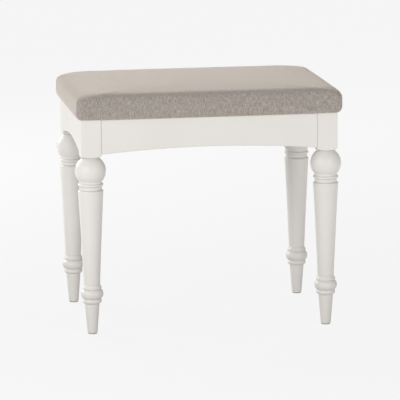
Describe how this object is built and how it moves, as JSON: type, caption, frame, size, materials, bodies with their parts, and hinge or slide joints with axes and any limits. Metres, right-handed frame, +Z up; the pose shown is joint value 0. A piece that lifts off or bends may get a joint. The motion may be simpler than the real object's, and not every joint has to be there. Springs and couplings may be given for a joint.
{
  "type": "upholstered stool",
  "caption": "Dressing-table stool: painted wooden frame of turned legs and arched rails under a padded, crowned fabric seat.",
  "frame": {"origin": "on the floor, below the middle of the seat", "axes": "+X to the stool's right along its long side, +Y to its back, +Z up"},
  "size_m": [0.5136, 0.3576, 0.47],
  "materials": {
    "painted_wood": "satin off-white paint",
    "bare_wood": "planed hardwood",
    "plywood": "sanded plywood",
    "cover_fabric": "plain heather weave",
    "wadding": "loose polyester fibre",
    "foam": "open-cell foam",
    "dust_cloth": "black non-woven cloth",
    "zinc_steel": "zinc plated",
    "glide_plastic": "moulded plastic"
  },
  "bodies": {
    "root": {"leg_front_left": "painted_wood", "leg_front_right": "painted_wood", "leg_back_left": "painted_wood", "leg_back_right": "painted_wood", "front_rail": "painted_wood", "back_rail": "painted_wood", "left_rail": "painted_wood", "right_rail": "painted_wood", "corner_block_front_left": "bare_wood", "corner_block_front_right": "bare_wood", "corner_block_back_left": "bare_wood", "corner_block_back_right": "bare_wood", "foot_glide_front_left": "glide_plastic", "foot_glide_front_right": "glide_plastic", "foot_glide_back_left": "glide_plastic", "foot_glide_back_right": "glide_plastic", "rail_dowels": "bare_wood", "corner_block_screws": "zinc_steel", "seat_screws": "zinc_steel", "seat_board": "plywood", "seat_foam": "foam", "seat_wadding": "wadding", "seat_cover": "cover_fabric", "cover_staples": "zinc_steel", "dust_cover": "dust_cloth", "dust_cover_staples": "zinc_steel"}
  },
  "joints": []
}
